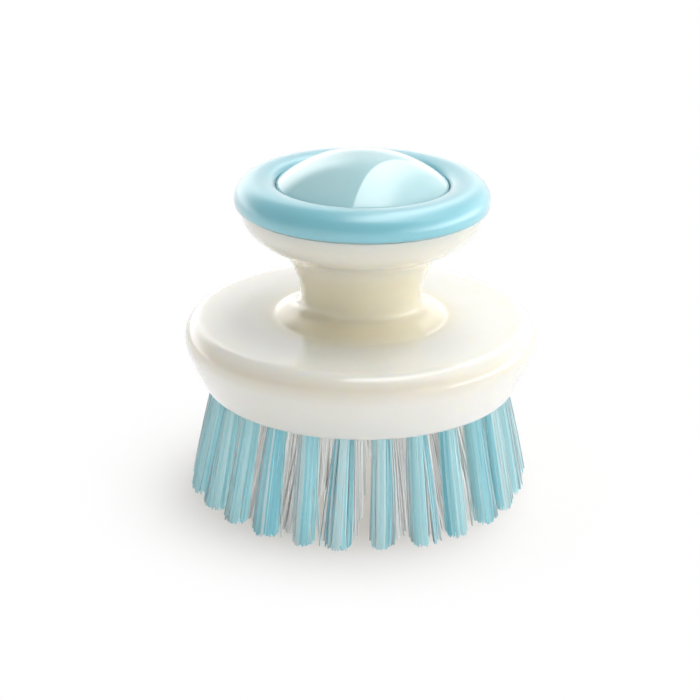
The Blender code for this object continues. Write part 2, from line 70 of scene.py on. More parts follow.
RIM_Z = SHELL_LOW.z
CUP_TOP_Z = SHELL_HIGH.z
RING_R = RING_HIGH.x
FLANGE_R = BUTTON_HIGH.x
PLATE_R = PLATE_HIGH.x
PLATE_RIM_Z = PLATE_HIGH.z
ROOT_TOP_Z = TUFT_HIGH.z

# Sizes of the handle that its box doesn't give, as in the solids
WIDEST_Z = RIM_Z + 9.5 * MM
NECK_R = 11.1 * MM
NECK_Z = WIDEST_Z + 10.9 * MM
CUP_R = RING_R - 1.0 * MM
WALL = 2.0 * MM
FIT = 0.3 * MM
DECK_Z = WASHER_LOW.z - FIT
LEDGE_W = 1.1 * MM
TANK_CORNER = 1.2 * MM
GUIDE_R = 2.1 * MM
GLAND_R = 4.2 * MM
GLAND_DEPTH = 2.1 * MM
CUP_EDGE_ROUND = 0.2 * MM
EDGE_ROUND = 0.25 * MM

# The handle's silhouette from the cup down: shares of the cup, then the neck, the head's nearly
# flat top and the skirt as radius and height above the widest place, in millimetres
CUP_SIDE_SHARES = ((1.0, 1.0), (0.95, 0.82), (0.70, 0.58), (0.30, 0.37))
NECK_SIDE = ((12.75, 13.2), (11.75, 10.7), (11.15, 8.0))
HEAD_SIDE = (
    (11.35, 5.9), (12.2, 4.9), (13.2, 4.4), (14.2, 4.02), (15.1, 3.64), (15.9, 3.3), (17.0, 3.15),
    (23.0, 3.1), (28.5, 3.02), (30.0, 2.85), (31.0, 2.35), (31.8, 1.5), (32.35, 0.4),
)
SKIRT_SIDE = ((31.76, -3.6), (30.28, -6.85), (29.15, -9.0), (28.75, -9.6), (28.4, -9.85), (28.15, -9.9))

# Ring and button
SEAM = 0.34 * MM             # what shows of the joint between the ring and the cup
RING_Z = CUP_TOP_Z + SEAM
RING_TOP_Z = RING_HIGH.z - 0.18 * MM
RING_RISE = RING_TOP_Z - RING_Z
RING_BELLY_RISE = 1.15 * MM
RING_EDGE_R = 0.35 * MM      # rounding of the ring's lower outer edge
BUTTON_R = FLANGE_R - 1.9 * MM
BUTTON_GAP = 0.15 * MM
RING_ROUND_W = 2.45 * MM
RING_ROUND_H = 1.3 * MM
RING_BORE_R = BUTTON_R + BUTTON_GAP
RING_CREST_R = BUTTON_R + 0.75 * MM + RING_ROUND_W
LIP_Z = CUP_TOP_Z + 2.6 * MM
SPIGOT_R = 19.5 * MM
SPIGOT_INNER_R = 18.1 * MM
DOME_EDGE_Z = LIP_Z + 1.8 * MM
DOME_TOP_Z = BUTTON_HIGH.z + 0.2 * MM
DOME_EDGE_R = 1.6 * MM
DOME_EDGE_INSET = 0.4 * MM   # how far inside the button's side the dome would meet its edge
BUTTON_T = 1.7 * MM
FLANGE_T = 1.4 * MM
SPRING_SEAT_R = 6.8 * MM
SPRING_SEAT_DROP = 0.9 * MM  # below the flange
STEM_R = 3.9 * MM
ROD_SOCKET_DEPTH = 10.3 * MM

# Brush plate, its heights measured down from the top of its edge
PLATE_DISH = 2.2 * MM
PLATE_WALL = 2.4 * MM
SEAL_GROOVE_DROP = 1.9 * MM
SEAL_GROOVE_H = 1.6 * MM
SEAL_GROOVE_DEPTH = 1.3 * MM
VALVE_BORE_R = 2.7 * MM
OUTLET_R = 4.3 * MM
OUTLET_ROOF = 1.0 * MM

# Painted shade: the warmer, deeper tint in the hollow round the neck
HOLLOW_OUTER_R = 20.0 * MM
HOLLOW_INNER_R = 13.5 * MM
HOLLOW_FADE = 7.0 * MM       # up the neck

# Return spring
WIRE_R = 0.45 * MM
COIL_R = 5.6 * MM
COIL_TURNS = 7
CLOSED_PITCH = 1.4 * MM      # of the turn at each end
COIL_STEPS = 24              # points in a turn
WIRE_SIDES = 8

# Tufts
FILAMENT_R = 0.13 * MM
ROOT_R = 1.75 * MM           # bundle at the plate
TIP_R = 2.3 * MM             # bundle at its tips
INNER_TIP_R = 2.9 * MM       # looser in the inner rows
OUTER_FILAMENTS = 90
INNER_FILAMENTS = 60
CLUMPS = 8                   # filaments that cling together inside a tuft
CLUMP_PULL = 0.16
SEGMENTS = 6
FILAMENT_SIDES = 4
ROOT_DEPTH = 1.2 * MM        # how deep the filaments start inside the plate
SWAY_ACROSS = 0.25 * MM      # of a whole tuft
SWAY_OUTWARDS = 0.2 * MM
FULLNESS = (0.85, 1.15)      # of a tuft's tips
CLUMP_DRIFT = 0.22 * MM
CLUMP_STEP = 0.12 * MM       # how unevenly the clumps end
TIP_SCATTER = 0.09 * MM
STRAY_SHARE = 0.04           # filaments that stand off on their own
STRAY_REACH = 1.2 * MM
BOW = 0.12 * MM
BOW_ACROSS = 0.08 * MM
THICKNESS = (0.85, 1.12)     # of single filaments
FRAY = 0.55 * MM
TIP_REACH = 0.25 * MM        # how far the longest filaments would pass the floor, uncut
END_ROUNDING = 1.5 * MM
DEEPEST_TONE = 0.28
CLUMP_TONE = 0.30            # how far the tone varies from clump to clump
FILAMENT_TONE = 0.14
BUNDLE_SHADING = 0.7         # how far a filament's shading follows the whole tuft's round
OUTER_SPLAY = 4.2 * MM
INNER_SPLAY = 6.2 * MM       # of the second row, and less further in
HOLE_R = 1.9 * MM
FIRST_TUFT_ANGLE = math.radians(-5.4)
ROW_COUNTS = (25, 19, 13, 8)
ROW_NODES = ("second_row_tufts", "third_row_tufts", "inner_row_tufts")
OUTER_ROW_R = PLATE_R - 0.5 * MM - HOLE_R
INNER_ROW_R = 7.8 * MM
SEED = 17

ROUND_STEPS = 192


def placed(shares, inner_r, outer_r, low_z, high_z):
    """Turn (radius share, height share) pairs into points."""
    return [(inner_r + r * (outer_r - inner_r), low_z + z * (high_z - low_z)) for r, z in shares]


def over_head(points):
    """Turn (radius, height above the widest place) pairs in millimetres into points."""
    return [(r * MM, WIDEST_Z + z * MM) for r, z in points]


CUP_SIDE = placed(CUP_SIDE_SHARES, NECK_R, CUP_R, NECK_Z, CUP_TOP_Z) + over_head(NECK_SIDE)
HEAD_TOP = over_head(HEAD_SIDE)
SKIRT = over_head(SKIRT_SIDE)


def spline_through(points, steps):
    """Natural cubic spline through (radius, height) points, smooth in its curvature too."""
    knots = np.array(points)
    spans = np.linalg.norm(np.diff(knots, axis=0), axis=1)
    count = len(knots)
    system = np.zeros((count, count))
    right_side = np.zeros_like(knots)
    system[0, 0] = system[-1, -1] = 1.0
    slopes = np.diff(knots, axis=0) / spans[:, None]
    for i in range(1, count - 1):
        system[i, i - 1:i + 2] = spans[i - 1], 2 * (spans[i - 1] + spans[i]), spans[i]
        right_side[i] = 6 * (slopes[i] - slopes[i - 1])
    bends = np.linalg.solve(system, right_side)
    curve = []
    for i, span in enumerate(spans):
        for t in np.arange(steps) / steps:
            a, b = 1 - t, t
            point = a * knots[i] + b * knots[i + 1]
            point = point + ((a ** 3 - a) * bends[i] + (b ** 3 - b) * bends[i + 1]) * span ** 2 / 6
            curve.append(tuple(float(value) for value in point))
    curve.append(tuple(points[-1]))
    return curve


def inset(points, distance):
    """Move each point of a falling side towards the inside of the piece it bounds."""
    moved = []
    for index, (r, z) in enumerate(points):
        before = Vector(points[max(index - 1, 0)])
        after = Vector(points[min(index + 1, len(points) - 1)])
        along = (after - before).normalized()
        moved.append((r + along.y * distance, z - along.x * distance))
    return moved


def crossing(points, value, given, wanted):
    """Where a side passes a given coordinate, read off its other coordinate."""
    for a, b in zip(points, points[1:]):
        low, high = sorted((a[given], b[given]))
        if low <= value <= high and low < high:
            share = (value - a[given]) / (b[given] - a[given])
            return a[wanted] + share * (b[wanted] - a[wanted])
    return points[-1][wanted]


def arc(centre_r, centre_z, width, height, start, end, steps):
    """Points along an elliptical arc in the (radius, height) plane, angles in degrees."""
    points = []
    for step in range(steps + 1):
        angle = math.radians(start + (end - start) * step / steps)
        points.append((centre_r + width * math.cos(angle), centre_z + height * math.sin(angle)))
    return points


def rounded(corners, steps=4):
    """Outline through (radius, height) corners; a third value rounds that corner."""
    outline = []
    for index, corner in enumerate(corners):
        point = Vector(corner[:2])
        if len(corner) < 3:
            outline.append(tuple(point))
            continue
        before = Vector(corners[index - 1][:2])
        after = Vector(corners[(index + 1) % len(corners)][:2])
        start = point + (before - point).normalized() * corner[2]
        end = point + (after - point).normalized() * corner[2]
        for step in range(steps + 1):
            t = step / steps
            outline.append(tuple(start * (1 - t) ** 2 + point * 2 * t * (1 - t) + end * t ** 2))
    return outline


def add_piece(name, mesh, material, body, nodes):
    """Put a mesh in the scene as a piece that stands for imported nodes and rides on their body."""
    piece = bpy.data.objects.new(name, mesh)
    mesh.materials.append(material)
    bpy.context.scene.collection.objects.link(piece)
    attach(piece, body)
    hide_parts(*nodes)
    return piece


def turned_mesh(name, outline, steps=ROUND_STEPS, smooth_angle=35.0):
    """Spin a half section of (radius, height) points about the Z axis."""
    bm = bmesh.new()
    corners = [bm.verts.new((r, 0.0, z)) for r, z in outline]
    ends_on_axis = outline[0][0] < 1e-7 and outline[-1][0] < 1e-7
    followers = corners[1:] if ends_on_axis else corners[1:] + corners[:1]
    sides = [bm.edges.new(pair) for pair in zip(corners, followers)]
    bmesh.ops.spin(
        bm, geom=corners + sides, cent=(0, 0, 0), axis=(0, 0, 1),
        angle=math.tau, steps=steps, use_merge=True,
    )
    bmesh.ops.remove_doubles(bm, verts=bm.verts, dist=1e-7)
    bmesh.ops.recalc_face_normals(bm, faces=bm.faces)
    mesh = bpy.data.meshes.new(name)
    bm.to_mesh(mesh)
    bm.free()
    mesh.shade_smooth()
    mesh.set_sharp_from_angle(angle=math.radians(smooth_angle))
    return mesh


def shell_outline():
    """The handle's moulding: outside from the cup down, then tank, deck and cup inside."""
    outside = spline_through(CUP_SIDE + HEAD_TOP + SKIRT, 10)
    outside[0] = (*outside[0], CUP_EDGE_ROUND)
    tank_r = PLATE_R + FIT - LEDGE_W
    roof_z = crossing(HEAD_TOP, tank_r, 0, 1) - WALL
    tank = [
        (PLATE_R + FIT, SKIRT[-1][1] + EDGE_ROUND),
        (PLATE_R + FIT, PLATE_RIM_Z + FIT),
        (tank_r, PLATE_RIM_Z + FIT),
        (tank_r, roof_z - TANK_CORNER),
        (tank_r - TANK_CORNER, roof_z),
    ]
    deck = [
        (GUIDE_R, roof_z),
        (GUIDE_R, DECK_Z - GLAND_DEPTH),
        (GLAND_R, DECK_Z - GLAND_DEPTH),
        (GLAND_R, DECK_Z),
        (NECK_R - WALL, DECK_Z),
    ]
    floor_z = RING_LOW.z - FIT
    inner_side = spline_through(inset(CUP_SIDE, WALL), 5)
    bowl = [point for point in reversed(inner_side) if point[1] < floor_z - FIT]
    socket = [
        (crossing(inner_side, floor_z, 1, 0), floor_z),
        (SPIGOT_R + FIT, floor_z),
        (SPIGOT_R + FIT, CUP_TOP_Z),
    ]
    return rounded(outside + tank + deck + bowl + socket)


def ring_outline():
    """The soft ring: a tall elliptical roll outside, a tight rounding inside, and its spigot."""
    belly_z = RING_Z + RING_BELLY_RISE
    belly_h = RING_RISE - RING_BELLY_RISE
    start = -math.degrees(math.asin(RING_BELLY_RISE / belly_h))
    outside = arc(RING_CREST_R, belly_z, RING_R - RING_CREST_R, belly_h, start, 90, 40)
    outside[0] = (*outside[0], RING_EDGE_R)
    round_z = RING_TOP_Z - RING_ROUND_H
    inside = arc(RING_CREST_R, round_z, RING_CREST_R - RING_BORE_R, RING_ROUND_H, 90, 180, 16)[1:]
    spigot = [
        (RING_BORE_R, LIP_Z),
        (SPIGOT_INNER_R, LIP_Z),
        (SPIGOT_INNER_R, RING_LOW.z),
        (SPIGOT_R, RING_LOW.z),
        (SPIGOT_R, RING_Z),
    ]
    return rounded(outside + inside + spigot)


def button_outline():
    """Domed button with its flange, spring seat and stem."""
    crown = DOME_TOP_Z - DOME_EDGE_Z
    edge_r = BUTTON_R - DOME_EDGE_INSET
    sphere_r = (edge_r ** 2 + crown ** 2) / (2 * crown)
    sphere_z = DOME_TOP_Z - sphere_r
    turn_r = BUTTON_R - DOME_EDGE_R
    turn_rise = math.sqrt((sphere_r - DOME_EDGE_R) ** 2 - turn_r ** 2)
    turn_angle = math.degrees(math.atan2(turn_rise, turn_r))
    dome = arc(0.0, sphere_z, sphere_r, sphere_r, 90, turn_angle, 40)
    dome[0] = (0.0, DOME_TOP_Z)
    edge = arc(turn_r, sphere_z + turn_rise, DOME_EDGE_R, DOME_EDGE_R, turn_angle, 0, 12)[1:]
    flange_z = LIP_Z - FIT
    flange_low_z = flange_z - FLANGE_T
    wall_r = BUTTON_R - BUTTON_T
    skirt = [
        (BUTTON_R, flange_z),
        (FLANGE_R, flange_z),
        (FLANGE_R, flange_low_z),
        (wall_r, flange_low_z),
    ]
    ceiling = []
    for step in range(7):
        r = wall_r + (SPRING_SEAT_R - wall_r) * step / 6
        ceiling.append((r, sphere_z + math.sqrt(sphere_r ** 2 - r ** 2) - BUTTON_T))
    stem = [
        (SPRING_SEAT_R, flange_low_z - SPRING_SEAT_DROP),
        (STEM_R, flange_low_z - SPRING_SEAT_DROP),
        (STEM_R, BUTTON_LOW.z),
        (GUIDE_R, BUTTON_LOW.z),
        (GUIDE_R, BUTTON_LOW.z + ROD_SOCKET_DEPTH),
        (0.0, BUTTON_LOW.z + ROD_SOCKET_DEPTH),
    ]
    return dome + edge + skirt + ceiling + stem


def build_spring(material):
    """The coil between the washer and the button, at the length of the imported spring."""
    low_z = SPRING_LOW.z + WIRE_R
    open_pitch = (SPRING_HIGH.z - WIRE_R - low_z - 2 * CLOSED_PITCH) / (COIL_TURNS - 2)
    corners = []
    faces = []
    for step in range(COIL_TURNS * COIL_STEPS + 1):
        turn = step / COIL_STEPS
        closed = min(turn, 1.0) + max(turn - COIL_TURNS + 1, 0.0)
        rise = closed * CLOSED_PITCH + (turn - closed) * open_pitch
        outwards = Vector((math.cos(math.tau * turn), math.sin(math.tau * turn), 0.0))
        middle = outwards * COIL_R + Vector((0.0, 0.0, low_z + rise))
        for side in range(WIRE_SIDES):
            angle = math.tau * side / WIRE_SIDES
            round_wire = outwards * math.cos(angle) + Vector((0.0, 0.0, math.sin(angle)))
            corners.append(middle + round_wire * WIRE_R)
    last = len(corners) - WIRE_SIDES
    for base in range(0, last, WIRE_SIDES):
        above = base + WIRE_SIDES
        for side in range(WIRE_SIDES):
            following = (side + 1) % WIRE_SIDES
            faces.append((base + following, above + following, above + side, base + side))
    faces.append(tuple(range(WIRE_SIDES)))
    faces.append(tuple(reversed(range(last, last + WIRE_SIDES))))
    mesh = bpy.data.meshes.new("coiled_spring")
    mesh.from_pydata(corners, [], faces)
    mesh.shade_smooth()
    spring = add_piece("coiled_spring", mesh, material, "brush", ["return_spring"])
    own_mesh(spring)


def row_radius(row):
    return OUTER_ROW_R - row * (OUTER_ROW_R - INNER_ROW_R) / (len(ROW_COUNTS) - 1)


def row_places(row):
    """Centre and outward direction of each tuft of a row, measured from -Y towards +X."""
    places = []
    for index in range(ROW_COUNTS[row]):
        angle = FIRST_TUFT_ANGLE + math.tau * index / ROW_COUNTS[row]
        outwards = Vector((math.sin(angle), -math.cos(angle), 0.0))
        places.append((outwards * row_radius(row), outwards))
    return places


def plate_outline():
    """The brush plate under the tank, with the groove of its seal and the valve's bore."""
    groove_z = PLATE_RIM_Z - SEAL_GROOVE_DROP
    top_z = PLATE_RIM_Z - PLATE_DISH
    return rounded([
        (VALVE_BORE_R, top_z),
        (VALVE_BORE_R, top_z - OUTLET_ROOF),
        (OUTLET_R, top_z - OUTLET_ROOF),
        (OUTLET_R, RIM_Z, EDGE_ROUND),
        (PLATE_R, RIM_Z, EDGE_ROUND),
        (PLATE_R, groove_z),
        (PLATE_R - SEAL_GROOVE_DEPTH, groove_z),
        (PLATE_R - SEAL_GROOVE_DEPTH, groove_z + SEAL_GROOVE_H),
        (PLATE_R, groove_z + SEAL_GROOVE_H),
        (PLATE_R, PLATE_RIM_Z),
        (PLATE_R - PLATE_WALL, PLATE_RIM_Z),
        (PLATE_R - PLATE_WALL, top_z),
    ])


def build_plate(material):
    """The brush plate with a round hole for each tuft."""
    mesh = turned_mesh("tufted_plate", plate_outline())
    plate = add_piece("tufted_plate", mesh, material, "brush", ["brush_plate"])
    depth = ROOT_TOP_Z + FIT - RIM_Z
    bm = bmesh.new()
    for row in range(len(ROW_COUNTS)):
        for centre, _ in row_places(row):
            place = Matrix.Translation((centre.x, centre.y, RIM_Z))
            bmesh.ops.create_cone(
                bm, cap_ends=True, segments=20, radius1=HOLE_R, radius2=HOLE_R,
                depth=2 * depth, matrix=place,
            )
    cutter_mesh = bpy.data.meshes.new("holes")
    bm.to_mesh(cutter_mesh)
    bm.free()
    cutter = bpy.data.objects.new("holes", cutter_mesh)
    bpy.context.scene.collection.objects.link(cutter)
    cut = plate.modifiers.new("holes", "BOOLEAN")
    cut.operation = "DIFFERENCE"
    cut.object = cutter
    bpy.context.view_layer.update()
    finished = bpy.data.meshes.new_from_object(plate.evaluated_get(bpy.context.evaluated_depsgraph_get()))
    plate.modifiers.clear()
    plate.data = finished
    bpy.data.objects.remove(cutter)


def sunflower(count, dice, jitter):
    """Evenly strewn places in a unit disc, as (along, across) pairs."""
    places = []
    for index in range(count):
        reach = math.sqrt((index + 0.5) / count)
        turn = index * math.radians(137.5) + dice.uniform(-jitter, jitter)
        places.append(Vector((reach * math.cos(turn), reach * math.sin(turn))))
    return places


class Strands:
    """Corners, faces, normals and tones of the filaments of one mesh."""

    def __init__(self):
        self.corners = []
        self.faces = []
        self.normals = []
        self.tones = []

    def add(self, path, axis, widths, radius, tone):
        """One thin rod along a path; its shading leans towards the round of its whole tuft."""
        base = len(self.corners)
        for point, middle, width in zip(path, axis, widths):
            off = Vector((point.x - middle.x, point.y - middle.y, 0.0))
            lean = off * (BUNDLE_SHADING * min(1.0, off.length / width) / max(off.length, 1e-6))
            for side in range(FILAMENT_SIDES):
                turn = math.tau * side / FILAMENT_SIDES
                own = Vector((math.cos(turn), math.sin(turn), 0.0))
                self.corners.append(tuple(point + own * radius))
                self.normals.append(tuple((own * (1 - BUNDLE_SHADING) + lean).normalized()))
                self.tones.append(tone)
        last = base + FILAMENT_SIDES * (len(path) - 1)
        self.faces.append(tuple(base + side for side in range(FILAMENT_SIDES)))
        self.faces.append(tuple(last + side for side in reversed(range(FILAMENT_SIDES))))
        for start in range(base, last, FILAMENT_SIDES):
            below = start + FILAMENT_SIDES
            for side in range(FILAMENT_SIDES):
                following = (side + 1) % FILAMENT_SIDES
                self.faces.append((start + side, below + side, below + following, start + following))

    def mesh(self, name):
        mesh = bpy.data.meshes.new(name)
        mesh.from_pydata(self.corners, [], self.faces)
        mesh.shade_smooth()
        tone = mesh.attributes.new("tone", "FLOAT", "POINT")
        tone.data.foreach_set("value", self.tones)
        mesh.normals_split_custom_set_from_vertices(self.normals)
        return mesh


def add_tuft(strands, centre, outwards, lean, tip_r, count, dice):
    """One tuft: filaments gathered at the plate, clinging in clumps and loose at the tips."""
    across = Vector((-outwards.y, outwards.x, 0.0))
    sway = across * dice.gauss(0.0, SWAY_ACROSS) + outwards * dice.gauss(0.0, SWAY_OUTWARDS)
    fullness = dice.uniform(*FULLNESS)
    clump_tones = [(index + dice.random()) / CLUMPS for index in range(CLUMPS)]
    dice.shuffle(clump_tones)
    clumps = [(spot, tone, across * dice.gauss(0.0, CLUMP_DRIFT), dice.gauss(0.0, CLUMP_STEP))
              for spot, tone in zip(sunflower(CLUMPS, dice, 0.5), clump_tones)]
    steps = [step / SEGMENTS for step in range(SEGMENTS + 1)]
    foot = Vector((centre.x, centre.y, RIM_Z + ROOT_DEPTH))
    end = foot + outwards * lean + sway
    end.z = 0.0
    axis = [foot.lerp(end, t) for t in steps]
    widths = [ROOT_R + (tip_r * fullness - ROOT_R) * t for t in steps]
    for spot in sunflower(count, dice, 0.25):
        clump, clump_tone, drift, step_back = min(clumps, key=lambda other: (other[0] - spot).length)
        gathered = spot.lerp(clump, CLUMP_PULL)
        root = foot + (outwards * spot.x + across * spot.y) * (ROOT_R - FILAMENT_R)
        tip = end + (outwards * gathered.x + across * gathered.y) * (tip_r * fullness) + drift
        tip += Vector((dice.gauss(0.0, TIP_SCATTER), dice.gauss(0.0, TIP_SCATTER), 0.0))
        if dice.random() < STRAY_SHARE:
            tip += across * dice.gauss(0.0, STRAY_REACH)
        short = END_ROUNDING * spot.length ** 5 + FRAY * dice.random() ** 2
        tip.z = max(0.0, short + step_back - TIP_REACH)
        bow = (outwards * spot.x + across * spot.y) * dice.gauss(BOW, BOW)
        bow += across * dice.gauss(0.0, BOW_ACROSS)
        path = [root.lerp(tip, t) + bow * math.sin(math.pi * t) for t in steps]
        tone = DEEPEST_TONE + CLUMP_TONE * clump_tone + FILAMENT_TONE * dice.random()
        strands.add(path, axis, widths, FILAMENT_R * dice.uniform(*THICKNESS), tone)


def let_light_through(tuft):
    """Thin filaments pass most of the light on to what is behind them."""
    tuft.visible_shadow = False
    tuft.visible_diffuse = False


def build_tufts(blue, white):
    """The blue outer tufts, one piece each, and the clear inner rows, one piece a row."""
    dice = random.Random(SEED)
    for index, (centre, outwards) in enumerate(row_places(0)):
        name = f"blue_tuft_{index + 1:02d}"
        strands = Strands()
        add_tuft(strands, centre, outwards, OUTER_SPLAY, TIP_R, OUTER_FILAMENTS, dice)
        nodes = [f"outer_tuft_{index + 1:02d}"]
        let_light_through(add_piece(name, strands.mesh(name), blue, "brush", nodes))
    for row, node in enumerate(ROW_NODES, start=1):
        lean = INNER_SPLAY * row_radius(row) / row_radius(1)
        strands = Strands()
        for centre, outwards in row_places(row):
            add_tuft(strands, centre, outwards, lean, INNER_TIP_R, INNER_FILAMENTS, dice)
        name = f"clear_{node}"
        let_light_through(add_piece(name, strands.mesh(name), white, "brush", [node]))


def colour(red, green, blue):
    """Linear colour from 0 to 255 screen values."""
    linear = []
    for value in (red, green, blue):
        share = value / 255
        linear.append(share / 12.92 if share <= 0.04045 else ((share + 0.055) / 1.055) ** 2.4)
    return (*linear, 1.0)


def new_material(name, settings):
    """A material with a Principled shader and the given values on its own sockets."""
    material = bpy.data.materials.new(name)
    material.use_nodes = True
    shader = material.node_tree.nodes["Principled BSDF"]
    for socket, value in settings.items():
        shader.inputs[socket].default_value = value
    return material, material.node_tree, shader


def noise(tree, scale, detail=2.0, stretch=(1.0, 1.0, 1.0)):
    """Noise in object space, whose scale is in waves a metre."""
    place = tree.nodes.new("ShaderNodeTexCoord")
    mapping = tree.nodes.new("ShaderNodeMapping")
    mapping.inputs["Scale"].default_value = stretch
    texture = tree.nodes.new("ShaderNodeTexNoise")
    texture.inputs["Scale"].default_value = scale
    texture.inputs["Detail"].default_value = detail
    tree.links.new(place.outputs["Object"], mapping.inputs["Vector"])
    tree.links.new(mapping.outputs["Vector"], texture.inputs["Vector"])
    return texture.outputs["Fac"]


def ramp(tree, source, stops):
    """Colours along a 0 to 1 value, as (position, colour) stops."""
    node = tree.nodes.new("ShaderNodeValToRGB")
    elements = node.color_ramp.elements
    for element, (position, value) in zip(elements, (stops[0], stops[-1])):
        element.position = position
        element.color = value
    for position, value in stops[1:-1]:
        elements.new(position).color = value
    tree.links.new(source, node.inputs["Fac"])
    return node.outputs["Color"]


def spread(tree, source, low, high):
    """Map the middle of a noise, 0.3 to 0.7, onto a range."""
    node = tree.nodes.new("ShaderNodeMapRange")
    node.inputs["From Min"].default_value = 0.3
    node.inputs["From Max"].default_value = 0.7
    node.inputs["To Min"].default_value = low
    node.inputs["To Max"].default_value = high
    tree.links.new(source, node.inputs["Value"])
    return node.outputs["Result"]


def math_node(tree, operation, first, second):
    """One sum of two values, each a number or a socket."""
    node = tree.nodes.new("ShaderNodeMath")
    node.operation = operation
    for socket, value in zip(node.inputs, (first, second)):
        if isinstance(value, (int, float)):
            socket.default_value = value
        else:
            tree.links.new(value, socket)
    return node.outputs["Value"]


def between(tree, source, start, end, low=0.0, high=1.0):
    """Smooth step of a value from one level to another."""
    node = tree.nodes.new("ShaderNodeMapRange")
    node.interpolation_type = "SMOOTHSTEP"
    node.inputs["From Min"].default_value = start
    node.inputs["From Max"].default_value = end
    node.inputs["To Min"].default_value = low
    node.inputs["To Max"].default_value = high
    tree.links.new(source, node.inputs["Value"])
    return node.outputs["Result"]


def product(tree, first, *others):
    """All the values multiplied together."""
    for other in others:
        first = math_node(tree, "MULTIPLY", first, other)
    return first


def bump(tree, shader, source, depth, strength=1.0):
    """Relief from a noise, with its depth in metres."""
    node = tree.nodes.new("ShaderNodeBump")
    node.inputs["Strength"].default_value = strength
    node.inputs["Distance"].default_value = depth
    tree.links.new(source, node.inputs["Height"])
    tree.links.new(node.outputs["Normal"], shader.inputs["Normal"])


def moulded(name, pale, deep, roughness, settings, relief=0.004 * MM, uneven=1.0):
    """Moulded plastic: faint cloudiness, uneven gloss and the slight waviness of its surface."""
    material, tree, shader = new_material(name, settings)
    clouds = noise(tree, 110.0, 3.0)
    tree.links.new(ramp(tree, clouds, ((0.3, deep), (0.7, pale))), shader.inputs["Base Color"])
    smears = noise(tree, 260.0, 4.0, (1.0, 1.0, 0.35))
    limits = (roughness * (1 - 0.2 * uneven), roughness * (1 + 0.3 * uneven))
    tree.links.new(spread(tree, smears, *limits), shader.inputs["Roughness"])
    bump(tree, shader, noise(tree, 420.0, 1.0), relief)
    return material


def paint_shade_by_place(material, stops, hollow):
    """Paint shade into a moulding by height, as (height, tint) stops, and a deeper, warmer painted shade
    in the hollow round the neck.
    """
    tree = material.node_tree
    shader = tree.nodes["Principled BSDF"]
    plain = shader.inputs["Base Color"].links[0].from_socket
    place = tree.nodes.new("ShaderNodeTexCoord")
    axes = tree.nodes.new("ShaderNodeSeparateXYZ")
    tree.links.new(place.outputs["Object"], axes.inputs["Vector"])
    height = axes.outputs["Z"]
    squares = [math_node(tree, "POWER", axes.outputs[axis], 2.0) for axis in "XY"]
    reach = math_node(tree, "SQRT", math_node(tree, "ADD", *squares), 0.0)
    near = product(
        tree, between(tree, reach, HOLLOW_OUTER_R, HOLLOW_INNER_R),
        between(tree, height, NECK_Z + HOLLOW_FADE, NECK_Z),
    )
    rise = math_node(tree, "DIVIDE", math_node(tree, "SUBTRACT", height, RIM_Z), CUP_TOP_Z - RIM_Z)
    shares = [((z - RIM_Z) / (CUP_TOP_Z - RIM_Z), (*tint, 1.0)) for z, tint in stops]
    for share, tint in ((1.0, ramp(tree, rise, shares)), (near, (*hollow, 1.0))):
        blend = tree.nodes.new("ShaderNodeMix")
        blend.data_type = "RGBA"
        blend.blend_type = "MULTIPLY"
        tree.links.new(plain, blend.inputs["A"])
        for socket, value in ((blend.inputs["Factor"], share), (blend.inputs["B"], tint)):
            if isinstance(value, bpy.types.NodeSocket):
                tree.links.new(value, socket)
            else:
                socket.default_value = value
        plain = blend.outputs["Result"]
    tree.links.new(plain, shader.inputs["Base Color"])


def filaments(name, tones):
    """Drawn filaments: each its own tone, glossy along its length, and a little lit from behind."""
    material, tree, shader = new_material(
        name, {"Specular IOR Level": 0.8, "Sheen Weight": 1.0, "Sheen Roughness": 0.4},
    )
    own = tree.nodes.new("ShaderNodeAttribute")
    own.attribute_name = "tone"
    tone = ramp(tree, own.outputs["Fac"], tones)
    tree.links.new(tone, shader.inputs["Base Color"])
    streaks = noise(tree, 900.0, 2.0, (1.0, 1.0, 0.06))
    tree.links.new(spread(tree, streaks, 0.22, 0.42), shader.inputs["Roughness"])
    through = tree.nodes.new("ShaderNodeBsdfTranslucent")
    tree.links.new(tone, through.inputs["Color"])
    body = tree.nodes.new("ShaderNodeMixShader")
    body.inputs[0].default_value = 0.06
    tree.links.new(shader.outputs[0], body.inputs[1])
    tree.links.new(through.outputs[0], body.inputs[2])
    tree.links.new(body.outputs[0], tree.nodes["Material Output"].inputs["Surface"])
    return material


def dress_nodes(material, names):
    """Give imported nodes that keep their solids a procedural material."""
    for name in names:
        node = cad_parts[name]
        for slot in node.material_slots:
            slot.material = material


def steel(name, roughness, stretch):
    """Bright steel with a fine drawn grain."""
    material, tree, shader = new_material(name, {"Metallic": 1.0, "Base Color": colour(196, 197, 199)})
    grain = noise(tree, 2500.0, 3.0, stretch)
    tree.links.new(spread(tree, grain, roughness * 0.7, roughness * 1.4), shader.inputs["Roughness"])
    bump(tree, shader, grain, 0.002 * MM)
    return material


def rubber(name, tone):
    """Milky silicone with a matt speckle."""
    material, tree, shader = new_material(name, {"Subsurface Weight": 0.3, "Subsurface Scale": 0.8 * MM})
    speckle = noise(tree, 1800.0, 4.0)
    speckled = ramp(tree, speckle, ((0.35, tone), (0.65, colour(214, 216, 216))))
    tree.links.new(speckled, shader.inputs["Base Color"])
    tree.links.new(spread(tree, speckle, 0.45, 0.7), shader.inputs["Roughness"])
    bump(tree, shader, speckle, 0.01 * MM)
    return material


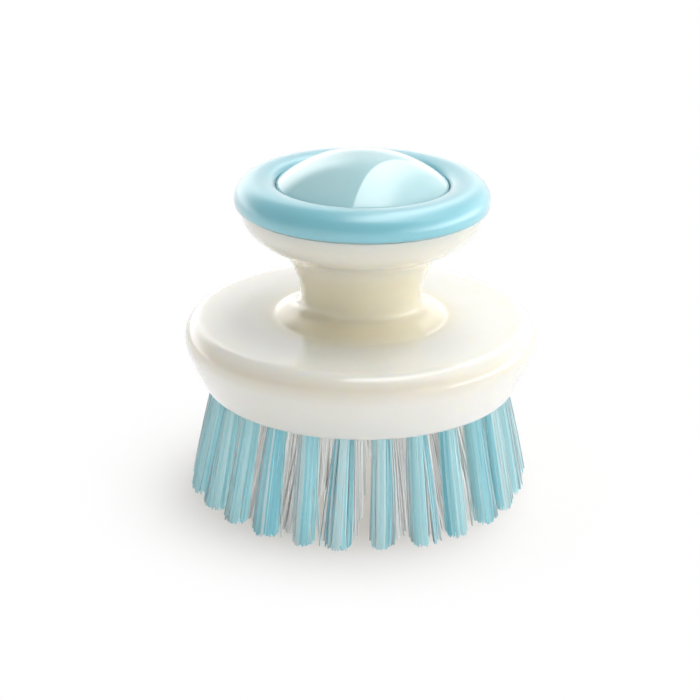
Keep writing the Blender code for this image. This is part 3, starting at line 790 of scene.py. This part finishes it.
def build_object():
    """All the pieces of the brush and what they are made of."""
    cream = moulded(
        "cream_gloss", colour(251, 248, 242), colour(249, 245, 238), 0.2,
        {"Subsurface Weight": 0.5, "Subsurface Radius": (1.0, 0.7, 0.35),
         "Subsurface Scale": 4.0 * MM, "Specular IOR Level": 0.15,
         "Coat Weight": 1.0, "Coat Roughness": 0.05, "Coat IOR": 1.6},
    )
    # Painted shade: a little darker over the skirt and wall, a darker warm band at the shoulder, darker
    # from the neck up onto the cup, and a warm deeper tint in the hollow round the neck
    paint_shade_by_place(cream, (
        (WIDEST_Z - 2.0 * MM, (0.95, 0.96, 0.95)), (WIDEST_Z + 1.0 * MM, (0.92, 0.89, 0.81)),
        (WIDEST_Z + 2.8 * MM, (1.0, 1.0, 0.98)), (NECK_Z, (1.0, 1.0, 0.98)),
        (NECK_Z + 5.0 * MM, (0.93, 0.91, 0.85)),
    ), (0.98, 0.91, 0.75))
    plate_cream = moulded("cream_satin", colour(236, 228, 207), colour(230, 221, 198), 0.22, {})
    ring_blue = moulded(
        "ring_satin", colour(132, 210, 224), colour(130, 208, 222), 0.3,
        {"Subsurface Weight": 0.15, "Subsurface Radius": (0.5, 0.8, 1.0),
         "Subsurface Scale": 1.0 * MM, "Coat Weight": 1.0, "Coat Roughness": 0.32,
         "Coat IOR": 1.9, "Sheen Weight": 1.0, "Sheen Roughness": 0.3},
        relief=0.0, uneven=0.2,
    )
    aqua = moulded(
        "button_gloss", colour(189, 232, 237), colour(185, 230, 235), 0.05,
        {"Coat Weight": 1.0, "Coat Roughness": 0.02, "Coat IOR": 1.65,
         "Subsurface Weight": 0.1, "Subsurface Radius": (0.5, 0.9, 1.0),
         "Subsurface Scale": 1.0 * MM},
        relief=0.001 * MM,
    )
    blue = filaments("filament_blue", (
        (0.3, colour(114, 214, 236)), (0.55, colour(188, 246, 254)), (0.8, colour(246, 255, 255)),
    ))
    white = filaments("filament_clear", (
        (0.3, colour(244, 252, 253)), (0.8, colour(254, 255, 255)),
    ))

    shell = turned_mesh("handle_moulding", shell_outline())
    add_piece("handle_moulding", shell, cream, "brush", ["handle_shell"])
    ring = turned_mesh("soft_ring", ring_outline())
    add_piece("soft_ring", ring, ring_blue, "brush", ["grip_ring"])
    dome = turned_mesh("press_dome", button_outline())
    add_piece("press_dome", dome, aqua, "button", ["push_button"])
    build_plate(plate_cream)
    build_tufts(blue, white)
    drawn_steel = steel("drawn_steel", 0.2, (1.0, 1.0, 0.1))
    build_spring(drawn_steel)
    dress_nodes(drawn_steel, ["plunger_rod", "spring_washer"])
    dress_nodes(rubber("seal_silicone", colour(190, 192, 193)), ["rod_seal", "plate_seal"])
    dress_nodes(rubber("valve_silicone", colour(202, 205, 206)), ["valve_seat", "valve_plug"])


# Studio: a backdrop behind, a softbox leaning over from the right, a dim room in front
FLOOR_R = 3.0
GLOW_START_R = 20 * MM
GLOW_FULL_R = 56 * MM
AMBIENT = 0.33
SOFTBOX_FACE = (0.94, -0.215, 0.10)   # towards the softbox from the plane of its left edge
SOFTBOX_LEVELS = (3.1, 0.7)           # overhead and low on the right
SIDE_LEVEL = 0.9
STRIP_LEVEL = 3.4
FRONT_LEVEL = 0.6


def build_world():
    """White to the eye; to the brush, a room painted by direction, as x, y, z or azimuth from +Y."""
    world = bpy.data.worlds.new("studio")
    world.use_nodes = True
    bpy.context.scene.world = world
    tree = world.node_tree
    background = tree.nodes["Background"]
    place = tree.nodes.new("ShaderNodeTexCoord")
    axes = tree.nodes.new("ShaderNodeSeparateXYZ")
    tree.links.new(place.outputs["Generated"], axes.inputs["Vector"])
    x, y, z = (axes.outputs[axis] for axis in "XYZ")
    azimuth = math_node(tree, "ARCTAN2", x, y)
    leaning = math_node(tree, "SUBTRACT", azimuth, math_node(tree, "MULTIPLY", z, 1.5))
    # behind: brighter on the left and near the floor, with a left edge that leans outwards
    brightness = math_node(
        tree, "ADD", between(tree, azimuth, -0.35, 0.0, 0.9, 0.0),
        between(tree, z, 0.12, 0.28, 1.0, 0.62),
    )
    backdrop = product(
        tree, brightness, between(tree, leaning, -1.60, -1.05),
        between(tree, azimuth, 0.55, 0.8, 1.0, 0.0), between(tree, z, 0.50, 0.92, 1.0, 0.0),
    )
    # overhead and to the right, fading towards the front and the floor
    facing = tree.nodes.new("ShaderNodeVectorMath")
    facing.operation = "DOT_PRODUCT"
    tree.links.new(place.outputs["Generated"], facing.inputs[0])
    facing.inputs[1].default_value = SOFTBOX_FACE
    softbox = product(
        tree, between(tree, facing.outputs["Value"], 0.0, 0.03),
        between(tree, x, 0.2, 0.5, *SOFTBOX_LEVELS),
        between(tree, y, -0.45, 0.0, 0.0, 1.0), between(tree, z, 0.3, 0.95, 0.45, 1.0),
    )
    # low on the right, with a bright strip at the floor
    side = product(
        tree, between(tree, x, 0.53, 0.6, 0.0, SIDE_LEVEL), between(tree, z, 0.62, 0.40),
    )
    strip = product(
        tree, between(tree, x, 0.74, 0.9, 0.0, STRIP_LEVEL), between(tree, z, 0.34, 0.18),
    )
    # low in front, weaker on the right
    front = product(
        tree, between(tree, y, -0.2, -0.65), between(tree, z, 0.12, 0.28, FRONT_LEVEL, 0.0),
        between(tree, x, -0.3, 0.5, 1.0, 0.6),
    )
    right = math_node(tree, "MAXIMUM", softbox, side)
    level = math_node(tree, "MAXIMUM", right, math_node(tree, "MAXIMUM", strip, backdrop))
    level = math_node(tree, "ADD", math_node(tree, "ADD", level, front), AMBIENT)
    seen = tree.nodes.new("ShaderNodeLightPath")
    white = tree.nodes.new("ShaderNodeMix")
    white.data_type = "FLOAT"
    tree.links.new(seen.outputs["Is Camera Ray"], white.inputs[0])
    tree.links.new(level, white.inputs[2])
    white.inputs[3].default_value = 1.0
    tree.links.new(white.outputs[0], background.inputs["Strength"])
    background.inputs["Color"].default_value = (1.0, 1.0, 1.0, 1.0)


def build_floor():
    """Pale floor that keeps the brush's shadow and turns plain white further out."""
    bm = bmesh.new()
    bmesh.ops.create_circle(bm, cap_ends=True, segments=64, radius=FLOOR_R)
    mesh = bpy.data.meshes.new("floor")
    bm.to_mesh(mesh)
    bm.free()
    material, tree, shader = new_material("floor_paper", {"Roughness": 0.6, "Specular IOR Level": 0.2})
    shader.inputs["Base Color"].default_value = colour(250, 250, 250)
    place = tree.nodes.new("ShaderNodeTexCoord")
    length = tree.nodes.new("ShaderNodeVectorMath")
    length.operation = "LENGTH"
    tree.links.new(place.outputs["Object"], length.inputs[0])
    away = between(tree, length.outputs["Value"], GLOW_START_R, GLOW_FULL_R)
    seen = tree.nodes.new("ShaderNodeLightPath")
    direct = math_node(tree, "MAXIMUM", seen.outputs["Is Camera Ray"], seen.outputs["Is Glossy Ray"])
    direct = math_node(tree, "MAXIMUM", direct, seen.outputs["Is Transmission Ray"])
    fade = math_node(tree, "MULTIPLY", away, direct)
    glow = tree.nodes.new("ShaderNodeEmission")
    mix = tree.nodes.new("ShaderNodeMixShader")
    tree.links.new(fade, mix.inputs[0])
    tree.links.new(shader.outputs[0], mix.inputs[1])
    tree.links.new(glow.outputs[0], mix.inputs[2])
    tree.links.new(mix.outputs[0], tree.nodes["Material Output"].inputs["Surface"])
    floor = bpy.data.objects.new("floor", mesh)
    mesh.materials.append(material)
    bpy.context.scene.collection.objects.link(floor)


def add_panel(name, corner, along, down, radiance):
    """A softbox of an even brightness, given by a corner and the two edges that leave it."""
    light = bpy.data.lights.new(name, "AREA")
    light.shape = "RECTANGLE"
    light.size = along.length
    light.size_y = down.length
    light.energy = radiance * math.pi * along.length * down.length
    panel = bpy.data.objects.new(name, light)
    side = along.normalized()
    up = down.normalized()
    if side.cross(up).dot(corner + (along + down) / 2) < 0.0:
        side = -side
    panel.rotation_euler = Matrix((side, up, side.cross(up))).transposed().to_euler()
    panel.location = corner + (along + down) / 2
    bpy.context.scene.collection.objects.link(panel)


def build_lights():
    """A small lamp high on the right, in front of the softbox that the world shows."""
    add_panel(
        "lamp_right", corner=Vector((0.35, -0.25, 0.75)), along=Vector((0.0, 0.3, 0.0)),
        down=Vector((0.2, 0.0, -0.2)), radiance=0.5,
    )


def build_camera():
    """Camera fitted to the ellipses of the rim, ring, seam and tips in the photograph."""
    elevation = math.radians(21.3)
    roll = math.radians(0.85)
    distance = 0.406
    target = Vector((0.0, 0.0, 28.4 * MM))
    lens = bpy.data.cameras.new("camera")
    lens.sensor_width = 36.0
    lens.lens = 112.25
    lens.shift_x = -0.0147
    lens.shift_y = -0.0153
    lens.clip_start = 0.01
    camera = bpy.data.objects.new("camera", lens)
    back = Vector((0.0, -math.cos(elevation), math.sin(elevation)))
    camera.location = target + back * distance
    facing = (-back).to_track_quat("-Z", "Y").to_matrix()
    camera.rotation_euler = (facing @ Matrix.Rotation(roll, 3, "Z")).to_euler()
    bpy.context.scene.collection.objects.link(camera)
    bpy.context.scene.camera = camera


build_object()
build_world()
build_floor()
build_lights()
build_camera()
bpy.context.scene.view_settings.view_transform = "Standard"
